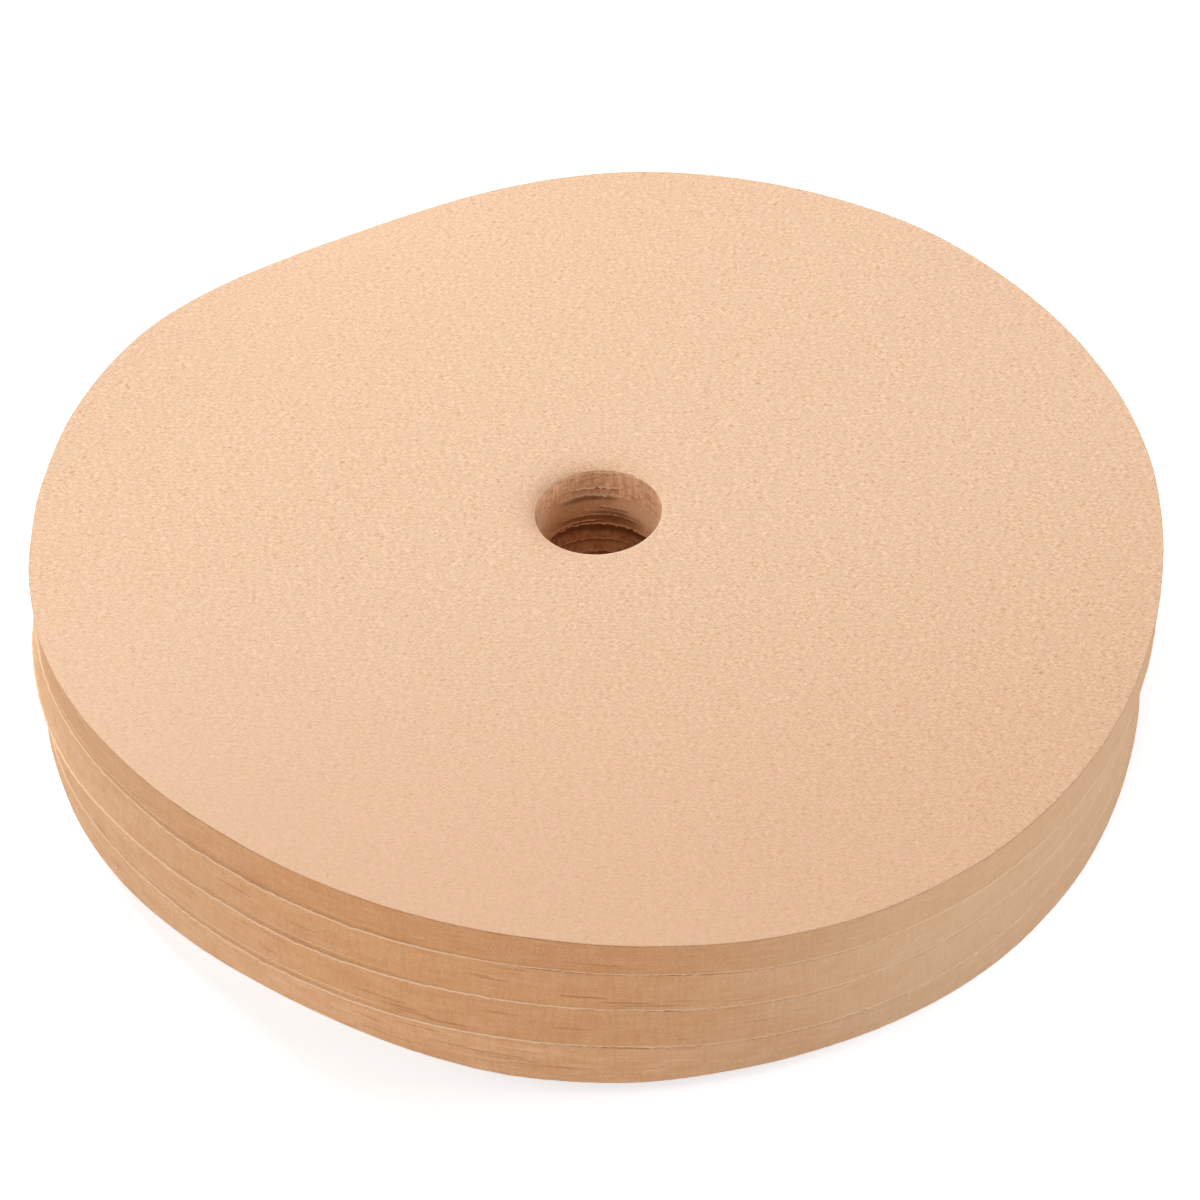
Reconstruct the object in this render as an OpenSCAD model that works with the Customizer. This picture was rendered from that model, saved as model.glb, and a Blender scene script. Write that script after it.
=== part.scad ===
// A pack of flat, round paper coffee filters with a hole in the middle, in four die-cut bundles.
// Millimetres, +Z up, origin on the table under the middle of the pack.

/* [Filters] */
// Diameter of one filter
filter_d = 95; // [70:1:130]
// Diameter of the hole for the percolator's stem
hole_d = 10.8; // [8:0.2:16]
// Thickness of one sheet as it lies in the pack
sheet_t = 0.13; // [0.1:0.01:0.3]
// Sheets that were cut together in one bundle
bundle_sheets = 25; // [15:1:50]

/* [Stacking] */
// Air between one bundle and the next
bundle_gap = 0.03; // [0.03:0.01:0.1]
// How far to the right of the hole the rim of each face lies, from the underside up
rim_right = [-0.2, -0.25, -0.6, 0.05, 0]; // [-0.7:0.05:0.7]
// How far to the back of the hole the rim of each face lies, from the underside up
rim_back = [0.2, -0.3, -0.1, 0.05, 0]; // [-0.7:0.05:0.7]
// How far the lowest sheets have slid outward under the others
foot_spread = 0.6; // [0:0.05:1]

/* [Warp] */
// Extra thickness of a bundle at its rim, where the cut edges hold the sheets apart
rim_swell = 0.75; // [0:0.05:1.5]
// How far the middle of the underside stands above its rim
underside_arch = 2; // [0:0.1:4]
// Rise of the saddle bend at the rim of each face, from the underside up
saddle_rise = [1.6, 1.4, 1.95, 1.7, 1.9]; // [1.2:0.05:2.2]
// Direction of each saddle's high corners, turning from the right to the back
saddle_turn = [41, 49, 50, 50, 42]; // [35:1:55]
// Rise of the rim's ripples with three, four, five and six waves
ripple_rise = [0.45, 0.45, 0.4, 0.15]; // [0:0.05:1]
// Direction of a crest of each of those ripples
ripple_turn = [13, -20, 8, -25]; // [-60:1:60]
// Share of those ripples in each face, from the underside up
ripple_share = [0.35, 0.95, 1, 1.15, 1]; // [0.3:0.05:1.2]
// Depth by which the pack's weight flattens the lowest stretches of its rim
underside_flat = 0.2; // [0.1:0.05:0.6]
// Width of the level ring of paper round the hole
level_ring = 2.5; // [1:0.5:6]

/* [Cut edge] */
// How far the burr at a bundle's lower edge stands out
burr_out = 0.25; // [0.05:0.05:0.6]
// Height of the burr
burr_h = 0.4; // [0.2:0.05:0.6]
// Bend of the top sheets at the rim, where the cutter came in
drag_in = 0.1; // [0.05:0.05:0.3]
// Height of that bend
drag_h = 0.25; // [0.1:0.05:0.4]
// Depth of the gaps where sheets in a bundle have sprung apart
loose_depth = 0.5; // [0.1:0.1:1.5]
// Height of those gaps
loose_h = 0.12; // [0.05:0.01:0.2]

/* [Hidden] */
NODES = ["bottom_bundle", "lower_middle_bundle", "upper_middle_bundle", "top_bundle"];
paper_tones = ["#dcb48c", "#e2bb94", "#e5bf99", "#efcba8"];

filter_r = filter_d / 2;
bundle_t = bundle_sheets * sheet_t;
rim_t = bundle_t + rim_swell;
level_r = hole_d / 2 + level_ring;
bundles = len(NODES);

// Points round a ring, and rings between the level middle and the rim
rim_steps = 72;
step = 360 / rim_steps;
face_rings = 4;
hole_steps = 60;

// Number of waves round the rim in each ripple
ripple_waves = [3, 4, 5, 6];

// How far out a place lies, from 0 in the level middle to 1 at the rim
function reach(x, y) = max(0, norm([x, y]) - level_r) / (filter_r - level_r);

// Height of the saddle and the ripples of a face at a place: level 0 is the underside and level 4 the top
function warp(level, x, y) =
    let (out = reach(x, y))
    let (turn = atan2(y, x))
    let (saddle = saddle_rise[level] * pow(out, 2) * cos(2 * (turn - saddle_turn[level])))
    let (ripples = [for (i = [0 : len(ripple_waves) - 1])
        pow(out, ripple_waves[i]) * cos(ripple_waves[i] * (turn - ripple_turn[i]))])
    saddle + ripple_share[level] * ripple_rise * ripples;

// The lowest place of the underside's rim lies on the table, less what the pack's weight flattens
lowest_warp = min([for (a = [0 : step : 360 - step]) warp(0, filter_r * cos(a), filter_r * sin(a))]);
underside_z = max(0, underside_arch - lowest_warp - underside_flat);

// Height of a face at a place
function level_z(level, x, y) =
    let (dish = (level * rim_swell - underside_arch) * pow(reach(x, y), 2))
    let (z = underside_z + level * bundle_t + dish + warp(level, x, y))
    level == 0 ? max(0, z) : z;

// Height at a share of the way up through one bundle, which leaves the air above it
function bundle_z(index, up, x, y) =
    let (air = index < bundles - 1 ? bundle_gap : 0)
    let (low = level_z(index, x, y))
    let (high = level_z(index + 1, x, y) - air)
    low + (high - low) * up;

// How far two sheets have sprung apart round the rim, from 0 to 1: a few patches in each bundle
function springing(index, gap, a) =
    max(0, cos(2 * a + 140 * gap + 75 * index) + cos(5 * a + 50 * gap + 110 * index)) / 2;

// One gap between sheets, as three points of the edge: how far out, how high, and how deep it may go
function loose_gap(height) = [
    [0, height - loose_h / 2, 0],
    [0, height, loose_depth],
    [0, height + loose_h / 2, 0]];

// The cut edge of a bundle from its burr up, in the same three values
plain_h = rim_t - burr_h - drag_h;
edge = concat(
    [[burr_out / 2, 0, 0], [burr_out, burr_h / 3, 0], [0, burr_h, 0]],
    loose_gap(burr_h + plain_h / 3),
    loose_gap(burr_h + plain_h * 2 / 3),
    [[0, rim_t - drag_h, 0], [-drag_in, rim_t, 0]]);

// A ring of points on a bundle's lower face (up = 0) or upper face (up = 1), round the hole's axis
function face_ring(index, radius, up) = [for (a = [0 : step : 360 - step])
    let (x = radius * cos(a))
    let (y = radius * sin(a))
    [x, y, bundle_z(index, up, x, y)]];

// A value at a share of the way up through one bundle, from a list with one for each face
function between(values, index, up) = values[index] + (values[index + 1] - values[index]) * up;

// A ring of points on the cut edge, which leans from the rim of one face to the rim of the next
function edge_ring(index, place) = [for (a = [0 : step : 360 - step])
    let (spot = edge[place])
    let (up = spot[1] / rim_t)
    let (spread = index == 0 ? foot_spread * (1 - up) : 0)
    let (radius = filter_r + spread + spot[0] - spot[2] * springing(index, place, a))
    let (x = between(rim_right, index, up) + radius * cos(a))
    let (y = between(rim_back, index, up) + radius * sin(a))
    [x, y, bundle_z(index, up, x, y)]];

// Radii of the rings on a bundle's faces, from the middle out, without the rim
face_radii = [for (i = [0 : face_rings - 1]) level_r + (filter_r - level_r) * i / face_rings];

// The quads between two rings, cut so that the faces of two bundles fold along the same lines
function band(low, high, flip) = [for (i = [0 : rim_steps - 1])
    let (j = (i + 1) % rim_steps)
    let (a = low + i)
    let (b = low + j)
    let (c = high + j)
    let (d = high + i)
    each flip ? [[a, d, b], [d, c, b]] : [[a, c, b], [a, d, c]]];

// A bundle of sheets as one solid: its lower face, its edge and its upper face are rings of points
module sheets(index) {
    lower = [for (r = face_radii) face_ring(index, r, 0)];
    rim = [for (place = [0 : len(edge) - 1]) edge_ring(index, place)];
    upper = [for (i = [face_rings - 1 : -1 : 0]) face_ring(index, face_radii[i], 1)];
    rings = concat(lower, rim, upper);
    last = len(rings) - 1;
    first_upper = len(lower) + len(rim) - 1;
    faces = [for (r = [0 : last - 1]) each band(r * rim_steps, (r + 1) * rim_steps, r >= first_upper)];
    middle_low = [for (i = [0 : rim_steps - 1]) i];
    middle_high = [for (i = [rim_steps - 1 : -1 : 0]) last * rim_steps + i];
    polyhedron([for (r = rings) each r], concat(faces, [middle_low, middle_high]));
}

// The hole through the pack, which runs past both faces of each bundle
module stem_hole() {
    past = bundle_t;
    translate([0, 0, underside_z - past])
        cylinder(d = hole_d, h = bundles * bundle_t + 2 * past, $fn = hole_steps);
}

module bundle(index) {
    color(paper_tones[index])
        difference() {
            sheets(index);
            stem_hole();
        }
}

module bottom_bundle() { bundle(0); }
module lower_middle_bundle() { bundle(1); }
module upper_middle_bundle() { bundle(2); }
module top_bundle() { bundle(3); }

bottom_bundle();
lower_middle_bundle();
upper_middle_bundle();
top_bundle();
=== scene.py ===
"""A warped pack of unbleached paper filter discs, in four die-cut bundles, on a pale floor.

Each bundle is one closed mesh that runs up the wall of the hole, out over its upper face, down the
cut edge sheet by sheet and back under. Lengths are in millimetres until the meshes are made.
"""

import math

import bpy
import numpy as np
from mathutils import Matrix, Vector


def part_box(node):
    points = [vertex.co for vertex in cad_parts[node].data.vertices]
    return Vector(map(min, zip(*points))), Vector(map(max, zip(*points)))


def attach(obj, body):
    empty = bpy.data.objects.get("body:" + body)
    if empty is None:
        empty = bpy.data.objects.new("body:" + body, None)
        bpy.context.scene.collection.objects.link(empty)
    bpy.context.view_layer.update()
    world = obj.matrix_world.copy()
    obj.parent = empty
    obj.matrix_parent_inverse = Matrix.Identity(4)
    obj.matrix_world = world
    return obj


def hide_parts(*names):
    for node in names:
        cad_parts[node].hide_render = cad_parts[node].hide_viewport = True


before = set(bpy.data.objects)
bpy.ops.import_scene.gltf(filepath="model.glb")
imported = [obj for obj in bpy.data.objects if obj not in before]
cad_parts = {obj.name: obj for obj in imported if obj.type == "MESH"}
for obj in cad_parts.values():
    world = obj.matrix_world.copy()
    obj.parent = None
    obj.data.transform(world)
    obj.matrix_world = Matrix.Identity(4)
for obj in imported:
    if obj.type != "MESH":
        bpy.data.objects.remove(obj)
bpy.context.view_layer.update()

MM = 0.001
SEED = 20

# The filters
DISC_R = 47.5
HOLE_R = 5.4
LEVEL_R = 7.9  # the paper is level round the hole up to here
SHEETS = 25  # in each bundle
BUNDLES = ("bottom_bundle", "lower_middle_bundle", "upper_middle_bundle", "top_bundle")
TOP = len(BUNDLES) - 1
BUNDLE_GAP = 0.03

# The pack's five faces, from the underside up: drop of the rim's mean height below the top one's,
# dish of the rim above the middle, rise and direction of the saddle bend, share of the ripples,
# middle of the cut rim to the right and the back of the hole, and how far the rim stands out
FACES = (
    dict(drop=15.7, dish=-2.0, saddle=1.59, turn=41, ripples=0.36, right=-0.57, back=0.38, out=0.6),
    dict(drop=12.16, dish=-1.25, saddle=1.40, turn=49, ripples=0.96, right=-0.48, back=-0.31, out=0.0),
    dict(drop=7.95, dish=-0.5, saddle=1.93, turn=50, ripples=1.02, right=-0.87, back=-0.09, out=0.1),
    dict(drop=3.99, dish=0.25, saddle=1.68, turn=50, ripples=1.17, right=-0.19, back=0.07, out=0.0),
    dict(drop=0.0, dish=0.8, saddle=1.91, turn=42, ripples=1.0, right=-0.24, back=0.0, out=0.0),
)
# Waves in a turn, rise at the rim and direction of a crest, for all the faces and for the underside alone
RIPPLES = ((3, 0.45, 13), (4, 0.46, -19), (5, 0.375, 9), (6, 0.14, -24), (7, 0.11, 1), (8, 0.09, 2))
UNDERSIDE_RIPPLES = ((5, 0.13, 18), (6, 0.2, -2), (7, 0.18, -18), (8, 0.09, 14))
RIM_PEAK = 2.39  # how far the pack's highest point stands above the mean height of its top rim
TOP_RIM_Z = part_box("top_bundle")[1].z / MM - RIM_PEAK

# Points round the rim, between, and round the hole
RIM_N, MID_N, HOLE_N = 1024, 512, 256

# The material slots of a bundle: its faces, its cut rim and the punched wall of its hole
FACE, CUT, PUNCHED = 0, 1, 2


def angles(count):
    return np.arange(count) * (2 * math.pi / count)


def ring_noise(rng, count, low, high, rows=1):
    """Smooth random rows round a closed ring, of low to high waves in a turn, with deviation 1."""
    top = min(high, count // 2 - 1)
    waves = np.arange(low, top + 1)
    size = (rows, len(waves))
    spectrum = np.zeros((rows, count // 2 + 1), complex)
    spectrum[:, low : top + 1] = rng.normal(size=size) + 1j * rng.normal(size=size)
    spectrum[:, low : top + 1] /= np.sqrt(waves)
    noise = np.fft.irfft(spectrum, count, axis=1)
    return noise / noise.std(axis=1, keepdims=True)


def alike_rows(rows, amount):
    """Each row mixed with the one before it, so that neighbours are alike."""
    mixed = rows.copy()
    for i in range(1, len(rows)):
        mixed[i] = amount * mixed[i - 1] + math.sqrt(1 - amount * amount) * rows[i]
    return mixed


BUMP_POWER = 0.6  # below 1, which makes a bump full in its middle and steep at its ends


def bumps(turn, patches):
    """Round bumps on a ring: each patch gives its middle and half width in degrees, and its height."""
    total = np.zeros(len(turn))
    for middle, half, high in patches:
        away = np.abs((np.degrees(turn) - middle + 180) % 360 - 180) / half
        total = np.maximum(total, high * np.clip(1 - away ** 2, 0, 1) ** BUMP_POWER)
    return total


def face_height(level, x, y):
    """Height of one of the pack's five faces, where the underside is pressed flat on the floor."""
    face = FACES[level]
    reach = np.maximum(0, np.hypot(x, y) - LEVEL_R) / (DISC_R - LEVEL_R)
    turn = np.arctan2(y, x)

    def rippled(ripples):
        total = 0.0
        for waves, rise, crest in ripples:
            total = total + rise * reach ** waves * np.cos(waves * (turn - math.radians(crest)))
        return total

    z = TOP_RIM_Z - face["drop"] + face["dish"] * (reach ** 2 - 1)
    z = z + face["saddle"] * reach ** 2 * np.cos(2 * (turn - math.radians(face["turn"])))
    z = z + face["ripples"] * rippled(RIPPLES)
    if level > 0:
        return z
    return np.maximum(z + rippled(UNDERSIDE_RIPPLES), 0.0)


def height_in(bundle, up, x, y):
    """Height at a share of the way up through one bundle, which leaves a little air above it."""
    air = BUNDLE_GAP if bundle < TOP else 0.0
    low = face_height(bundle, x, y)
    return low + (face_height(bundle + 1, x, y) - air - low) * up


def wall_place(bundle, up, turn, out):
    """A ring on a bundle's cut edge, at a share of the way up it and so far out of its plain wall."""
    low, high = FACES[bundle], FACES[bundle + 1]
    right, back, spread = (low[key] + (high[key] - low[key]) * up for key in ("right", "back", "out"))
    radius = DISC_R + spread + out
    return right + radius * np.cos(turn), back + radius * np.sin(turn)


class Rings:
    """Closed rings of points, joined to each other in the order that they are added."""

    def __init__(self):
        self.rings = []
        self.marks = []
        self.slots = []

    def add(self, x, y, z, slot=FACE, layer=0.0, fray_and_highlight=0.0, depth=0.0):
        """Add a ring, with the material slot of the band that ends in it.

        Its points tell that material three things: layer, how many of the pack's sheets lie below them;
        fray, how torn and pale the paper is there, with painted highlights on the hole's wall and rim; and
        depth, how deep the place is, which sets how much shade is painted on it.
        """
        count = len(x)
        marks = [np.broadcast_to(value, count) for value in (layer, fray_and_highlight, depth)]
        self.rings.append(np.stack([x, y, np.broadcast_to(z, count)], 1))
        self.marks.append(np.stack(marks, 1))
        self.slots.append(slot)

    def mesh(self, name, materials):
        starts = np.cumsum([0] + [len(ring) for ring in self.rings])
        corners, sizes, slots = [], [], []
        for i in range(len(self.rings)):
            j = (i + 1) % len(self.rings)
            for faces in band_faces(starts[i], len(self.rings[i]), starts[j], len(self.rings[j])):
                corners.append(faces.ravel())
                sizes.append(np.full(len(faces), faces.shape[1]))
                slots.append(np.full(len(faces), self.slots[j]))
        marks = dict(zip(("layer", "fray_and_highlight", "depth"), np.concatenate(self.marks).T))
        return new_piece(
            name, np.concatenate(self.rings), np.concatenate(corners), np.concatenate(sizes),
            np.concatenate(slots), materials, marks,
        )


def band_faces(start_a, count_a, start_b, count_b):
    """Quads and triangles between two rings, the second with as many points, half of them or twice."""
    i = np.arange(min(count_a, count_b))
    j = (i + 1) % len(i)
    if count_a == count_b:
        yield np.stack([start_a + i, start_a + j, start_b + j, start_b + i], 1)
        return
    first, middle, last = 2 * i, 2 * i + 1, 2 * j
    if count_a > count_b:
        yield np.stack([start_a + first, start_a + middle, start_b + i], 1)
        yield np.stack([start_a + middle, start_b + j, start_b + i], 1)
        yield np.stack([start_a + middle, start_a + last, start_b + j], 1)
    else:
        yield np.stack([start_a + i, start_b + middle, start_b + first], 1)
        yield np.stack([start_a + i, start_a + j, start_b + middle], 1)
        yield np.stack([start_a + j, start_b + last, start_b + middle], 1)


def new_piece(name, points, corners, sizes, slots, materials, marks):
    """A smooth mesh object from flat arrays in millimetres, with point attributes for its materials."""
    mesh = bpy.data.meshes.new(name)
    mesh.vertices.add(len(points))
    mesh.vertices.foreach_set("co", (points * MM).astype(np.float32).ravel())
    mesh.loops.add(len(corners))
    mesh.loops.foreach_set("vertex_index", corners.astype(np.int32))
    mesh.polygons.add(len(sizes))
    mesh.polygons.foreach_set("loop_start", np.concatenate([[0], np.cumsum(sizes)[:-1]]).astype(np.int32))
    mesh.polygons.foreach_set("loop_total", sizes.astype(np.int32))
    mesh.polygons.foreach_set("material_index", slots.astype(np.int32))
    mesh.polygons.foreach_set("use_smooth", np.ones(len(sizes), bool))
    for material in materials:
        mesh.materials.append(material)
    for word, values in marks.items():
        mesh.attributes.new(word, "FLOAT", "POINT").data.foreach_set("value", values.astype(np.float32))
    mesh.update()
    mesh.validate()
    piece = bpy.data.objects.new(name, mesh)
    bpy.context.collection.objects.link(piece)
    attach(piece, "root")
    return piece


# Gaps at the front where sheets have sprung apart, as the photograph shows them, in each bundle from the
# bottom one up: how many of its sheets lie below the gap, where all of them means the gap between two
# bundles, and then the gap's middle and half width in degrees and its depth
SEEN_GAPS = (
    (
        (20, 254, 2.4, 0.35), (18, 256, 1.6, 0.25), (13, 259, 4.5, 0.35), (11, 262, 3, 0.3),
        (9, 266, 4, 0.45), (7, 262, 3, 0.25), (6, 250, 3, 0.3), (15, 249, 2, 0.25), (SHEETS, 262, 13, 0.26),
    ),
    (
        (4, 253.5, 1.6, 0.28), (6, 252, 2.2, 0.3), (3, 256, 2, 0.3), (9, 250, 3, 0.2), (16, 262, 2, 0.15),
        (11, 268, 2, 0.12), (SHEETS, 266, 12, 0.3),
    ),
    (
        (8, 269, 2.1, 0.3), (5, 273, 2.5, 0.25), (13, 261, 1.3, 0.2), (14, 259.5, 1.2, 0.15),
        (3, 275, 3, 0.2), (SHEETS, 272, 9, 0.14),
    ),
    ((7, 270, 3, 0.14), (5, 272, 2.5, 0.1)),
)
MORE_GAPS = 44  # others in each bundle, anywhere round it
MORE_GAPS_HALF = (0.4, 2.6)
MORE_GAPS_DEPTH = (0.03, 0.16)


def edge_gaps(rng, bundle, turn):
    """How deep the gap under each sheet goes, as rows of sheets by points round the rim."""
    patches = {sheet: [] for sheet in range(SHEETS + 1)}
    for sheet, *patch in SEEN_GAPS[bundle]:
        patches[sheet].append(patch)
    for _ in range(MORE_GAPS):
        sheet = int(rng.integers(2, SHEETS - 1))
        patch = (rng.uniform(0, 360), rng.uniform(*MORE_GAPS_HALF), rng.uniform(*MORE_GAPS_DEPTH))
        patches[sheet].append(patch)
    return [bumps(turn, patches[sheet]) for sheet in range(SHEETS + 1)]


# The burr that the cutter left at the foot of each bundle
BURR_OUT = 0.25  # how far it stands out
BURR_SIDE = 205  # where it is strongest
BURR_HALF = 50  # degrees to each side of there in which it is strong
BURR_FADE = 4  # degrees over which it then grows faint
BURR_FAINT = 0.36  # its share elsewhere
BURR_SHARE = (0.15, 1.0, 1.0, 1.0)  # in each bundle, from the bottom one up
BEADS_AT = 281  # the middle of the stretch where it is broken into beads
BEADS_HALF = 15
BEADS_OUT = 0.5  # the mean share by which the beads stand out
CHIPS = 20  # torn flecks in each burr
CHIPS_HALF = (0.2, 0.6)
CHIPS_OUT = (0.04, 0.1)
CHIPS_SEEN = ((238, 1.6, 0.07), (229, 2.2, 0.06), (247, 1.0, 0.05))  # larger ones at the front left
DOUBLE_SHEET = 3  # the sheet above each burr that is torn here and there too
DOUBLE_OUT, DOUBLE_MOST = 0.04, 0.15  # how far it stands out on average and at most
LEDGE_OUT = (0.09, 0.09, 0.04, 0.0)  # how far the top sheets stand out, from the bottom bundle up
LEDGE_MEAN = 0.4  # the mean share of that, which the noise takes below zero in places

# The top sheet's edge: how far down in sheets it begins and ends, and the shares of the ledge, of the
# gap's depth and of the shade painted in the gap that it has at its end
TOP_EDGE, TOP_FOOT = 0.25, 0.75
FOOT_LEDGE, FOOT_GAP, FOOT_DARK = 0.8, 0.7, 0.5

# The burr: its top in sheets, with the share of the lip and of the fray there, and then from there down
# its height in sheets, share of how far it stands out, and lift
BURR_TOP, BURR_TOP_SHARE = 0.95, 0.8
BURR_PROFILE = ((0.8, 0.95, 0.0), (0.5, 1.0, 0.0), (0.0, 0.95, -0.02))
# UNDER_DEPTH is the shade painted under the burr
BURR_UNDER, UNDER_DEPTH = 0.22, 0.2  # how far in its underside begins, and how dark it is there
LIP_FOLLOWED = {1: 0.45, 2: 0.12}  # the share of the lip that the sheets over it follow
LEDGE_FOLLOWED = {0: 0.6, 1: 0.2}  # the share of the ledge that the sheets under it follow
FACE_END, FACE_BEND = 0.1, 0.02  # how far inside the cut the upper face's last two rings lie

# Fray from 0 to 1: a burr has the mean and the swing by side without a lip, and the gain more with a whole
# one; the top sheets are all frayed where they stand out so far; and the doubled sheet has so much for
# each millimetre that it stands out, up to the most
FRAY_MEAN, FRAY_SWING, FRAY_SIDE = 0.2, 0.14, 330
FRAY_GAIN = 1.3
TOP_FRAYED_OUT = 0.06
DOUBLE_FRAY, DOUBLE_FRAY_MOST = 8, 0.8

# The lines between sheets: how deep they are cut, from the bottom bundle up, the level of the noise above
# which they show, and the most that it counts beyond that
GROOVES = (0.018, 0.01, 0.01, 0.008)
GROOVES_FROM, GROOVES_MOST = 0.6, 1.5

# Noise round the rim in bands, each with its fewest and most waves in a turn and its deviation, which is
# in millimetres for the whole cut, for single sheets and for the doubled one, and a share for the others
COARSE, FINE = (3, 60), (60, 500)
CUT_DRAGS = ((*FINE, 0.006), (4, 40, 0.02))
SHEET_COARSE, SHEET_FINE = 0.006, 0.003
SHEETS_ALIKE = 0.85  # how much each sheet follows the one before it
BURR_WAVER = ((3, 20, 0.1), (80, 400, 0.06))
BEADS_WAVER = ((200, 500, 0.25),)
LEDGE_WAVER = ((2, 8, 0.5), (60, 400, 0.1))
TEAR_WAVER = ((150, 500, 0.5),)
DOUBLE_WAVER = ((4, 20, 0.08),)


def sheet_ring(rings, bundle, place, x, y, slot, fray_and_highlight, depth, lift=0.0):
    """Add a ring of an edge, so many sheets above the foot of its bundle, and never under the floor."""
    z = height_in(bundle, place / SHEETS, x, y) + lift
    if bundle == TOP:
        z = z + place / SHEETS * top_relief(x, y)
    rings.add(x, y, np.maximum(z, 0.0), slot, bundle * SHEETS + place, fray_and_highlight, depth)


def rim_noise(rng, bands):
    """The sum of some bands of noise round the rim."""
    return sum(size * ring_noise(rng, RIM_N, low, high)[0] for low, high, size in bands)


def torn_lips(rng, bundle, turn):
    """How far the burr's lip, its torn flecks, the top sheets and the doubled sheet stand out."""
    degrees = np.degrees(turn)
    burred = BURR_SHARE[bundle]
    away = np.abs(degrees - BURR_SIDE)
    side = BURR_FAINT + (1 - BURR_FAINT) / (1 + np.exp((away - BURR_HALF) / BURR_FADE))
    waver = rim_noise(rng, BURR_WAVER)
    beads = np.clip(BEADS_OUT + rim_noise(rng, BEADS_WAVER), 0.1, 1)
    broken = np.exp(-((degrees - BEADS_AT) / BEADS_HALF) ** 2)
    lip = BURR_OUT * burred * side * np.clip(1 + waver, 0.1, 2) * (1 - broken + broken * beads)
    ledge = LEDGE_OUT[bundle] * side * np.clip(LEDGE_MEAN + rim_noise(rng, LEDGE_WAVER), -1, 2)
    flecks = [(rng.uniform(0, 360), rng.uniform(*CHIPS_HALF), rng.uniform(*CHIPS_OUT)) for _ in range(CHIPS)]
    chips = bumps(turn, flecks + list(CHIPS_SEEN))
    tear = burred * chips * np.clip(1 + rim_noise(rng, TEAR_WAVER), 0.2, 2)
    double = np.clip(DOUBLE_OUT + rim_noise(rng, DOUBLE_WAVER), 0, DOUBLE_MOST)
    return lip, tear, ledge, double * (side - BURR_FAINT) * burred


def rim_edge(rings, bundle, rng):
    """The cut edge from its top down, with two rings to a sheet: its middle and the groove under it."""
    turn = angles(RIM_N)
    drags = rim_noise(rng, CUT_DRAGS)
    own = SHEET_COARSE * alike_rows(ring_noise(rng, RIM_N, *COARSE, SHEETS), SHEETS_ALIKE)
    own += SHEET_FINE * ring_noise(rng, RIM_N, *FINE, SHEETS)
    lines = np.clip(ring_noise(rng, RIM_N, *COARSE, SHEETS) - GROOVES_FROM, 0, GROOVES_MOST)
    grooves = GROOVES[bundle] * lines
    gaps = edge_gaps(rng, bundle, turn)
    lip, tear, ledge, double = torn_lips(rng, bundle, turn)
    burr = lip + tear
    least = FRAY_MEAN + FRAY_SWING * np.cos(turn - math.radians(FRAY_SIDE))
    burr_fray = np.clip(least + FRAY_GAIN * burr / BURR_OUT, 0, 1) * BURR_SHARE[bundle]
    top_fray = np.clip(ledge / TOP_FRAYED_OUT, 0, 1)
    top_gap = gaps[SHEETS]

    def ring_at(place, out, fray_and_highlight=0.0, depth=0.0, lift=0.0, slot=CUT):
        x, y = wall_place(bundle, place / SHEETS, turn, drags + out)
        sheet_ring(rings, bundle, place, x, y, slot, fray_and_highlight, depth, lift)

    ring_at(SHEETS, ledge - FACE_END - top_gap, slot=FACE)
    ring_at(SHEETS, ledge - FACE_BEND - top_gap, top_fray, top_gap, slot=FACE)
    # The top edge gets shade painted in by the depth of the gap over it
    ring_at(SHEETS - TOP_EDGE, ledge - top_gap, top_fray, top_gap)
    ring_at(SHEETS - TOP_FOOT, FOOT_LEDGE * ledge - FOOT_GAP * top_gap, 0.0, FOOT_DARK * top_gap)
    for sheet in range(SHEETS - 1, 0, -1):
        from_top = SHEETS - 1 - sheet
        over = LEDGE_FOLLOWED.get(from_top, 0.0) * ledge + LIP_FOLLOWED.get(sheet, 0.0) * lip
        second = double if sheet == DOUBLE_SHEET else 0.0
        out = own[sheet] + over + second
        ring_at(sheet + 0.5, out, np.clip(DOUBLE_FRAY * second, 0, DOUBLE_FRAY_MOST))
        # The groove's ring gets shade painted in by the gap's depth
        ring_at(sheet, out - grooves[sheet] - gaps[sheet], 0.0, gaps[sheet])
    ring_at(BURR_TOP, lip * BURR_TOP_SHARE, burr_fray * BURR_TOP_SHARE)
    for place, share, lift in BURR_PROFILE:
        ring_at(place, burr * share, burr_fray, lift=lift)
    ring_at(0, burr - BURR_UNDER, depth=UNDER_DEPTH)


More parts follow.
